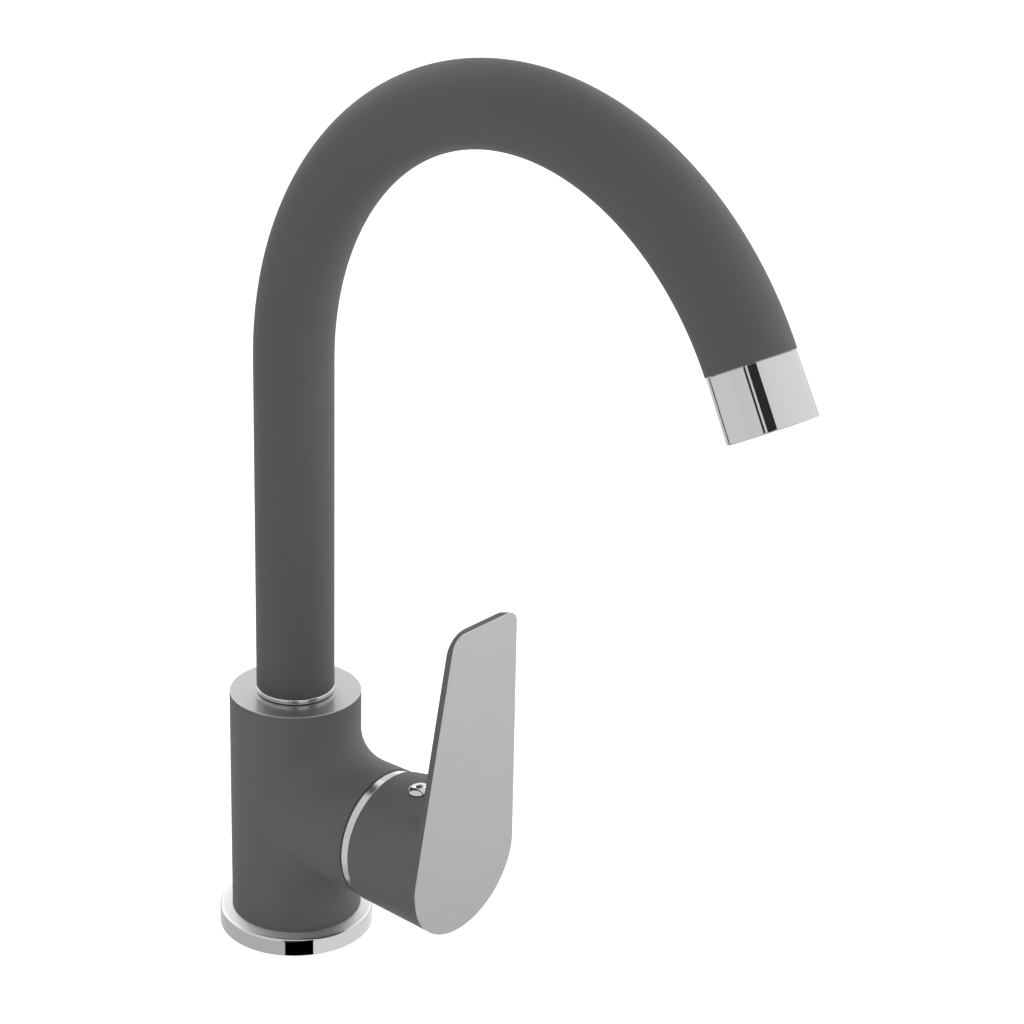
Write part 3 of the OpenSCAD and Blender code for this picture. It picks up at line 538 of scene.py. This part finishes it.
def castingLoops():
    b = bodyCasting
    count = b["round"]
    reach = bodyRadius + b["blend"]
    branchReach = b["branchRadius"] + b["blend"]
    half = pi * bodyRadius
    footZ = flangeTop - branchZ
    topZ = bodyTop - branchZ
    right, left = b["topCorner"], count // 2 - b["topCorner"]
    lowLeft, lowRight = count // 2 + b["footCorner"], count - b["footCorner"]
    sideSteps = b["topCorner"] + b["footCorner"]

    def edgeOfWall(i):
        # The body's wall unrolled: its top edge, back seam and foot edge, as (round the wall, height)
        if right <= i <= left:
            return half * (1 - 2 * (i - right) / (left - right)), topZ
        if left < i < lowLeft:
            return -half, topZ + (footZ - topZ) * (i - left) / sideSteps
        if lowLeft <= i <= lowRight:
            return half * (2 * (i - lowLeft) / (lowRight - lowLeft) - 1), footZ
        return half, footZ + (topZ - footZ) * ((i - lowRight) % count) / sideSteps

    loops = [[] for _ in range(b["branchSteps"] + b["blendSteps"] + b["wallSteps"] + 1)]
    for i in range(count):
        turn = 2 * pi * i / count
        ball = Vector((branchReach * cos(turn), 0, branchReach * sin(turn)))
        ball.y = -sqrt(reach ** 2 - ball.x ** 2)
        onPipe = Vector((ball.x, 0, ball.z)) * (b["branchRadius"] / branchReach)
        along = []
        for k in range(b["branchSteps"]):
            y = -branchEnd + (branchEnd + ball.y) * k / b["branchSteps"]
            along.append(onPipe + Vector((0, y, 0)))
        toPipe = -Vector((ball.x, 0, ball.z)).normalized()
        toWall = -Vector((ball.x, ball.y, 0)).normalized()
        for k in range(b["blendSteps"]):
            along.append(ball + b["blend"] * toPipe.slerp(toWall, k / b["blendSteps"]))
        start = (bodyRadius * asin(ball.x / reach), ball.z)
        end = edgeOfWall(i)
        for k in range(b["wallSteps"] + 1):
            share = k / b["wallSteps"]
            angle = (start[0] + (end[0] - start[0]) * share) / bodyRadius
            height = start[1] + (end[1] - start[1]) * share
            along.append(Vector((bodyRadius * sin(angle), -bodyRadius * cos(angle), height)))
        for loop, point in zip(loops, along):
            loop.append(point + Vector((0, 0, branchZ)))
    return loops


def closeEdge(test):
    # Fills the open edge at a place with one flat face
    pick(test)
    bpy.ops.mesh.edge_face_add()


def makeBody():
    b = bodyCasting
    piece = swept("mixer_body_skin", castingLoops())
    bpy.ops.mesh.select_all(action="SELECT")
    bpy.ops.mesh.remove_doubles(threshold=hair)
    closeEdge(lambda at: at.y < -branchEnd + hair)
    closeEdge(lambda at: at.z > bodyTop - hair)
    pick(lambda at: at.z < flangeTop + hair)
    bpy.ops.mesh.extrude_region_move()
    shrink = 1 - b["spigotStep"] / bodyRadius
    bpy.ops.transform.resize(value=(shrink, shrink, 1), center_override=(0, 0, flangeTop))
    bpy.ops.mesh.extrude_region_move(TRANSFORM_OT_translate={"value": (0, 0, bodyLow.z - flangeTop)})
    bpy.ops.mesh.edge_face_add()
    cleanUp()
    letGo()
    softened(piece, b["edgeRound"])
    for hollow in b["upright"].values():
        shaped(piece, rod(upright, *hollow))
    outOfBack = (Matrix.Translation((0, 0, bodyTop - b["lockDown"]))
                 @ Matrix.Rotation(radians(-90), 4, "X"))
    shaped(piece, rod(outOfBack, *b["lockHole"]))
    for hollow in b["alongBranch"].values():
        shaped(piece, rod(onBranch, *hollow))
    finishPiece(piece, upright, "body", "dark_paint", "mixer_body", "body_paint")


# Foot, cap, collar, rings and sleeve: turned pieces, corner by corner as (radius, height, round) in mm

turnedPieces = {
    "base_flange_ring": {
        "frame": upright, "body": "body", "node": "base_flange", "finish": "flange_chrome",
        "outline": [(21.55, 0, 0), (22.40, 0, 0), (22.40, 2, 0), (26.40, 2, 0), (26.40, 0, 0),
                    (28.25, 0, 0.12), (28.25, 6.30, 0.7), (24.00, 7.2, 0.2), (21.55, 7.2, 0)],
    },
    "top_cap_disc": {
        "frame": upright, "body": "body", "node": "top_cap", "finish": "cap_chrome",
        "outline": [(12.40, 90.5, 0), (15.95, 90.5, 0.2), (15.95, 93, 0), (23.70, 93, 0.1),
                    (23.70, 94, 0.4), (12.40, 94, 0.2)],
    },
    "collar_cover": {
        "frame": onBranch, "body": "body", "node": "collar_ring", "finish": "collar_chrome",
        "outline": [(19.40, 43.5, 0), (22.30, 43.5, 0), (22.30, 43.8, 0), (23.30, 43.8, 0.4),
                    (23.30, 47.1, 0.4), (20.20, 47.1, 0), (20.20, 50.0, 0.8), (13.50, 50.0, 0.2),
                    (13.50, 49.2, 0), (19.40, 49.2, 0)],
    },
    "spout_foot_band": {
        "frame": onSpout, "body": "spout", "node": "spout_foot_ring",
        "outline": [(13.00, 94.15, 0), (14.15, 94.15, 0.6), (14.15, 96.15, 0.6), (13.00, 96.15, 0)],
    },
    "aerator_shell": {
        "frame": atOutlet, "body": "spout", "node": "aerator_sleeve",
        "outline": [(10.50, 20.5, 0.15), (10.50, 19.3, 0), (11.40, 19.3, 0), (11.40, -6, 0),
                    (12.15, -6, 0), (12.15, 0.1, 0), (13.70, 0.1, 0.2), (14.10, 20.5, 0.5)],
    },
}


def makeTurned():
    for name, item in turnedPieces.items():
        piece = turned(name, item["outline"])
        finishPiece(piece, item["frame"], item["body"], "chrome", item["node"], item.get("finish"))


# Spout: one bent tube, with its wall

tube = {"radius": 13.99 * mm, "wall": 1 * mm, "round": 128, "bendSteps": 144, "riserSteps": 12,
        "edgeRound": 0.2 * mm, "foot": 96.2 * mm}


def makeSpout():
    piece = startCircle("spout_tube_bend", tube["round"], tube["radius"])
    bpy.ops.object.mode_set(mode="EDIT")
    bpy.ops.mesh.select_all(action="SELECT")
    bpy.ops.transform.translate(value=(0, 0, tube["foot"]))
    rise = (spout["riserTop"] - tube["foot"]) / tube["riserSteps"]
    for _ in range(tube["riserSteps"]):
        bpy.ops.mesh.extrude_region_move(TRANSFORM_OT_translate={"value": (0, 0, rise)})
    bpy.ops.mesh.spin(steps=tube["bendSteps"], angle=-radians(spout["angle"]),
                      center=(0, -spout["bend"], spout["riserTop"]), axis=(1, 0, 0))
    cleanUp()
    letGo()
    addModifier(piece, "SOLIDIFY", thickness=tube["wall"], offset=-1, use_even_offset=True)
    softened(piece, tube["edgeRound"])
    finishPiece(piece, onSpout, "spout", "dark_paint", "spout_tube")


# Lever: hub and blade in one casting, with a thin metal face on it

blade = {
    "lowRadius": 26 * mm, "rise": 0.6 * mm, "height": 95.9 * mm, "topWidth": 33.2 * mm,
    "corner": 5.3 * mm, "backCorner": 8.5 * mm, "thick": 2.85 * mm, "face": 0.3 * mm,
    "edge": 0.3 * mm, "faceEdge": 0.12 * mm,
    "arcSteps": 64, "cornerSteps": 14, "topSteps": 24, "sideSteps": 12,
}
hub = {
    # where it meets the blade, in metres
    "top": 25.2 * mm, "corner": 8 * mm, "swell": 0.5 * mm, "steps": 24,
    # round the branch's axis, in mm
    "rim": 47.8, "radius": 24.2, "bore": 21.4, "floor": 73.9,
    "pivot": 41.5, "room": 24.26, "roomSteps": 8,
    "boss": 9.5, "bossFrom": 55.5, "socket": 4.05, "socketTo": 70.6, "web": 5.6, "grubHole": 2.55,
    "overlap": 0.5, "webOverlap": 0.6,
}
cornerX = blade["topWidth"] / 2 - blade["corner"]
cornerY = blade["height"] - blade["corner"]
sideRun = sqrt(cornerX ** 2 + (cornerY - blade["rise"]) ** 2)
sideTilt = (asin((blade["lowRadius"] - blade["corner"]) / sideRun)
            - atan2(cornerX, cornerY - blade["rise"]))


def sideX(up):
    return (blade["lowRadius"] - (up - blade["rise"]) * sin(sideTilt)) / cos(sideTilt)


def arc(x, y, radius, start, end, steps):
    angles = [start + (end - start) * k / steps for k in range(steps + 1)]
    return [(x + radius * cos(angle), y + radius * sin(angle)) for angle in angles]


def between(first, last, steps):
    shares = [k / steps for k in range(1, steps)]
    return [(first[0] + (last[0] - first[0]) * s, first[1] + (last[1] - first[1]) * s) for s in shares]


def bladeOutline(top, corner, inset=0.0):
    # Round lower end, straight sides and a flat top at a height, anticlockwise from the right corner
    up = top - corner
    x = sideX(up) - corner / cos(sideTilt)
    steps = blade["cornerSteps"]
    right = arc(x, up, corner - inset, sideTilt, pi / 2, steps)
    left = arc(-x, up, corner - inset, pi / 2, pi - sideTilt, steps)
    low = arc(0, blade["rise"], blade["lowRadius"] - inset, pi - sideTilt, 2 * pi + sideTilt,
              blade["arcSteps"])
    return (right + between(right[-1], left[0], blade["topSteps"])
            + left + between(left[-1], low[0], blade["sideSteps"])
            + low + between(low[-1], right[0], blade["sideSteps"]))


def onPlane(place, outline, z):
    return [place @ Vector((x, y, z)) for x, y in outline]


def makeHub():
    # From the floor of its bore down to the round rim, and up to the outline on the blade's back
    outline = bladeOutline(hub["top"], hub["corner"])
    turns = [atan2(y, x) for x, y in outline]

    def ring(radius, z):
        return [onBranch @ Vector((cos(t) * radius * mm, sin(t) * radius * mm, z * mm)) for t in turns]

    joint = hub["pivot"] + sqrt(hub["room"] ** 2 - hub["bore"] ** 2)
    loops = [ring(hub["bore"], hub["floor"]), ring(hub["bore"], joint)]
    for k in range(1, hub["roomSteps"] + 1):
        z = joint + (hub["rim"] - joint) * k / hub["roomSteps"]
        loops.append(ring(sqrt(hub["room"] ** 2 - (z - hub["pivot"]) ** 2), z))
    rim = ring(hub["radius"], hub["rim"])
    far = onPlane(onBlade, outline, -blade["thick"])
    for k in range(hub["steps"] + 1):
        share = k / hub["steps"]
        swell = [sin(pi * share) * hub["swell"] * max(0, sin(t)) ** 2 for t in turns]
        loops.append([a.lerp(b, share) + Vector((0, 0, up)) for a, b, up in zip(rim, far, swell)])
    loops.append(onPlane(onBlade, outline, -blade["face"]))
    return closedSweep("lever_hub_blade", loops)


def makePlate():
    b = blade
    loops = [
        onPlane(upright, bladeOutline(b["height"], b["backCorner"], b["edge"]), -b["thick"]),
        onPlane(upright, bladeOutline(b["height"], b["backCorner"]), b["edge"] - b["thick"]),
        onPlane(upright, bladeOutline(b["height"], b["corner"]), -b["face"]),
    ]
    piece = closedSweep("blade_plate", loops)
    piece.data.transform(onBlade)
    return piece


def makeLever():
    h = hub
    piece = makeHub()
    shaped(piece, makePlate(), "UNION")
    towardsScrew = onBranch @ Matrix.Rotation(radians(lever["screwTurn"]), 4, "Z")
    deep = h["floor"] + h["overlap"]
    shaped(piece, rod(onBranch, 0, 0, h["boss"], h["bossFrom"], deep), "UNION")
    shaped(piece, block(towardsScrew, (-h["web"], 0, h["bossFrom"]),
                        (h["web"], h["bore"] + h["webOverlap"], deep)), "UNION")
    shaped(piece, block(onBranch, (-h["socket"], -h["socket"], h["bossFrom"] - 1),
                        (h["socket"], h["socket"], h["socketTo"])))
    shaped(piece, rod(onScrew, 0, 0, h["grubHole"], 0, plug["seat"] + 1))
    shaped(piece, rod(onScrew, 0, 0, plug["radius"] + plug["room"], plug["seat"], plug["outside"]))
    finishPiece(piece, upright, "lever", "lever_paint", "lever_handle")


def makeFace():
    b = blade
    loops = [
        onPlane(upright, bladeOutline(b["height"], b["corner"]), -b["face"]),
        onPlane(upright, bladeOutline(b["height"], b["corner"]), -b["faceEdge"]),
        onPlane(upright, bladeOutline(b["height"], b["corner"], b["faceEdge"]), 0),
    ]
    piece = closedSweep("lever_face_plate", loops)
    finishPiece(piece, onBlade, "lever", "satin_face", "lever_face")


# Index plug over the grub screw

plug = {"radius": 4.1, "seat": 21.7, "rimUp": 25.85, "rimRound": 0.1, "domeBase": 26.1, "top": 27.2,
        "chamfer": 0.3, "domeEdge": 3.6, "domeSteps": 14, "mark": 1.23, "markEdge": 0.1, "round": 96,
        "room": 0.05, "outside": 30}        # the room round it in the hub, and where its hole ends


def makePlug():
    p = plug
    rise = p["top"] - p["domeBase"]
    ball = (p["domeEdge"] ** 2 + rise ** 2) / (2 * rise)
    half = asin(p["domeEdge"] / ball)
    outline = [(0, p["seat"], 0), (p["radius"], p["seat"], 0), (p["radius"], p["rimUp"], p["rimRound"]),
               (p["radius"] - p["chamfer"], p["domeBase"], 0)]
    dome = arc(0, p["top"] - ball, ball, pi / 2 - half, pi / 2, p["domeSteps"])
    outline += [(radius, height, 0) for radius, height in dome if radius > p["mark"] + p["markEdge"]]
    edge = p["top"] - ball + sqrt(ball ** 2 - p["mark"] ** 2)
    outline += [(p["mark"], edge, 0), (p["mark"], p["domeBase"], 0), (0, p["domeBase"], 0)]
    piece = turned("index_plug_cap", outline, p["round"])
    finishPiece(piece, onScrew, "lever", "chrome", "index_plug")


makeBody()
makeTurned()
makeSpout()
makeLever()
makeFace()
makePlug()


# Studio: white room, soft light, and cards that only the chrome sees

studio = {
    "lit": 0.84, "litSlope": 0.06, "gloss": 1.04, "glossSlope": 0.13,
    "rightX": 0.636, "rightY": -0.772,        # the way to the camera's right
    "floor": 4.0, "floorColour": (0.9, 0.9, 0.9), "floorSeen": 0.50, "floorGloss": 0.0,
}


def raysSeen(board):
    rays = board.add("LightPath")
    return [board.out(rays, name) for name in ("Is Camera Ray", "Is Glossy Ray", "Is Transmission Ray")]


def makeWorld():
    # White to the camera, and a little brighter on the right to the light and to the chrome
    world = bpy.data.worlds.new("white_room")
    scene.world = world
    board = Board(world)
    camera, glossy, through = raysSeen(board)
    parts = board.add("SeparateXYZ", Vector=board.out(board.add("TexCoord"), "Generated"))
    right = board.out(parts, "X") * studio["rightX"] + board.out(parts, "Y") * studio["rightY"]
    lit = studio["lit"] + right * studio["litSlope"]
    gloss = studio["gloss"] + right * studio["glossSlope"]
    seen = (camera + through).clipped()
    diffuse = (1.0 - seen - glossy).clipped()
    strength = seen + glossy * gloss + diffuse * lit
    back = board.add("Background", Color=(1, 1, 1, 1), Strength=strength)
    board.add("OutputWorld", Surface=board.out(back))


def makeFloor():
    letGo()
    bpy.ops.mesh.primitive_plane_add(size=studio["floor"])
    floor = bpy.context.object
    floor.name = "floor"
    material = bpy.data.materials.new("floor_white")
    board = Board(material)
    camera, glossy, through = raysSeen(board)
    matt = board.add("BsdfDiffuse", Color=shade(studio["floorColour"]))
    strength = (camera + through) * studio["floorSeen"] + glossy * studio["floorGloss"]
    glow = board.add("Emission", Color=(1, 1, 1, 1), Strength=strength)
    both = board.add("AddShader")
    board.tree.links.new(matt.outputs[0], both.inputs[0])
    board.tree.links.new(glow.outputs[0], both.inputs[1])
    board.add("OutputMaterial", Surface=board.out(both))
    floor.data.materials.append(material)


# Each card: where it is seen from (mm), its bearing and height (degrees), how far off (mm),
# its spread in degrees, and its brightness
cards = {
    "sleeve_line": {"from": (25, -200, 195), "to": (-104.2, 12), "away": 1000, "size": (4.5, 44),
                    "glow": 0.05},
    "sleeve_band": {"from": (25, -200, 195), "to": (-121.5, 20), "away": 1000, "size": (20, 44),
                    "glow": 0.04},
    "back_left": {"from": (0, 0, 0), "to": (14, 32), "away": 1800, "size": (36, 36), "glow": 1.9},
    "back_right": {"from": (0, 0, 0), "to": (82, 34), "away": 1800, "size": (28, 32), "glow": 1.9},
    "left_floor": {"from": (-1030, 250, 80), "to": (0, -90), "away": 79.5, "size": (170.6, 170.6),
                   "glow": 0.97},
    "back_low": {"from": (0, 0, 0), "to": (52, 8), "away": 1900, "size": (50, 15), "glow": 1.9},
}
# Sheets on the floor that only reflections see: an angle range round the foot (degrees), the bearings of
# their sides, how high they lie, and how high the wall is that stands on their edge beyond the fold
# (mm). The pale ones glow as painted light over the floor's shade round the foot, brighter on the right;
# the dark one is a black sheet that gives the flange's wall its dark patch.
reflectionSheetSteps = 24
reflectionSheets = {
    "dark": {"from": 215, "to": 236, "near": 28.3, "far": 110, "fromWay": -115.8, "toWay": -157.9,
             "up": 0.05, "high": 80, "fold": 80, "glow": 0},
    "pale_left": {"from": 100, "to": 225, "near": 28.3, "far": 64, "fromWay": -10, "toWay": -135,
                  "up": 0.02, "high": 0, "glow": 0.72},
    "pale_right": {"from": 225, "to": 350, "near": 28.3, "far": 64, "fromWay": -135, "toWay": -260,
                   "up": 0.02, "high": 0, "glow": 1.10},
}


def hideFromAllButGloss(piece, name, glow):
    material = bpy.data.materials.new(name)
    board = Board(material)
    light = board.add("Emission", Color=(1, 1, 1, 1), Strength=glow)
    board.add("OutputMaterial", Surface=board.out(light))
    piece.data.materials.append(material)
    piece.name = name
    piece.visible_camera = False
    piece.visible_diffuse = False
    piece.visible_shadow = False
    piece.visible_transmission = False


def bearing(degreesRound, degreesUp=0.0):
    # The way to a compass bearing, with +Y as north
    turn, lift = radians(degreesRound), radians(degreesUp)
    return Vector((sin(turn) * cos(lift), cos(turn) * cos(lift), sin(lift)))


def makeCards():
    for name, card in cards.items():
        letGo()
        bpy.ops.mesh.primitive_plane_add(size=1)
        piece = bpy.context.object
        way = bearing(*card["to"])
        across, high = [2 * card["away"] * mm * tan(radians(part) / 2) for part in card["size"]]
        centre = Vector(card["from"]) * mm + way * card["away"] * mm
        facing = way.to_track_quat("Z", "Y").to_matrix().to_4x4()
        piece.data.transform(Matrix.Translation(centre) @ facing @ Matrix.Diagonal((across, high, 1, 1)))
        hideFromAllButGloss(piece, "card_" + name, card["glow"])


def makeReflectionSheet(name, w):
    # Its near edge follows the foot
    shares = [k / reflectionSheetSteps for k in range(reflectionSheetSteps + 1)]
    turns = [radians(w["from"] + (w["to"] - w["from"]) * share) for share in shares]
    ways = [bearing(w["fromWay"] + (w["toWay"] - w["fromWay"]) * share) for share in shares]
    near = [Vector((cos(turn), sin(turn), 0)) * w["near"] for turn in turns]
    far = [start + way * (w["far"] - w["near"]) for start, way in zip(near, ways)]
    points = near + far[::-1]
    piece = startCircle("cloth_" + name, len(points))
    for vert, point in zip(piece.data.vertices, points):
        vert.co = (point.x * mm, point.y * mm, w["up"] * mm)
    bpy.ops.object.mode_set(mode="EDIT")
    bpy.ops.mesh.select_all(action="SELECT")
    bpy.ops.mesh.edge_face_add()
    if w["high"]:
        bpy.ops.mesh.select_all(action="DESELECT")
        pick(lambda at: Vector((at.x, at.y)).length > w["fold"] * mm)
        bpy.ops.mesh.extrude_edges_move(TRANSFORM_OT_translate={"value": (0, 0, w["high"] * mm)})
    letGo()
    hideFromAllButGloss(piece, "cloth_" + name, w["glow"])


def makeReflectionSheets():
    # What the flange's wall mirrors of the floor round the foot: pale sheets that glow as painted light
    # over the floor's shade, and a black sheet
    for name, sheet in reflectionSheets.items():
        makeReflectionSheet(name, sheet)


lamp = {"to": (138, 22), "away": 1.3, "above": 0.08, "size": 0.7, "watts": 6}


def makeLamp():
    # Soft box on the right, low enough to light the body behind the lever
    light = bpy.data.lights.new("soft_box", "AREA")
    light.shape = "SQUARE"
    light.size = lamp["size"]
    light.energy = lamp["watts"]
    box = bpy.data.objects.new("soft_box", light)
    scene.collection.objects.link(box)
    way = bearing(*lamp["to"])
    box.matrix_world = (Matrix.Translation(way * lamp["away"] + Vector((0, 0, lamp["above"])))
                        @ way.to_track_quat("Z", "Y").to_matrix().to_4x4())
    box.visible_glossy = False
    box.visible_camera = False


view = {"place": (-0.64117, -0.61538, 0.52393), "turn": -51.0922, "up": 67.9238, "roll": 1.5401,
        "lens": 95.92, "sensor": 36}


def makeCamera():
    camera = bpy.data.objects.new("camera", bpy.data.cameras.new("camera"))
    scene.collection.objects.link(camera)
    camera.data.sensor_width = view["sensor"]
    camera.data.lens = view["lens"]
    camera.matrix_world = (Matrix.Translation(view["place"])
                           @ Matrix.Rotation(radians(view["turn"]), 4, "Z")
                           @ Matrix.Rotation(radians(view["up"]), 4, "X")
                           @ Matrix.Rotation(radians(view["roll"]), 4, "Z"))
    scene.camera = camera


makeWorld()
makeFloor()
makeCards()
makeReflectionSheets()
makeLamp()
makeCamera()
print("studio ready")
scene.view_settings.view_transform = "Standard"
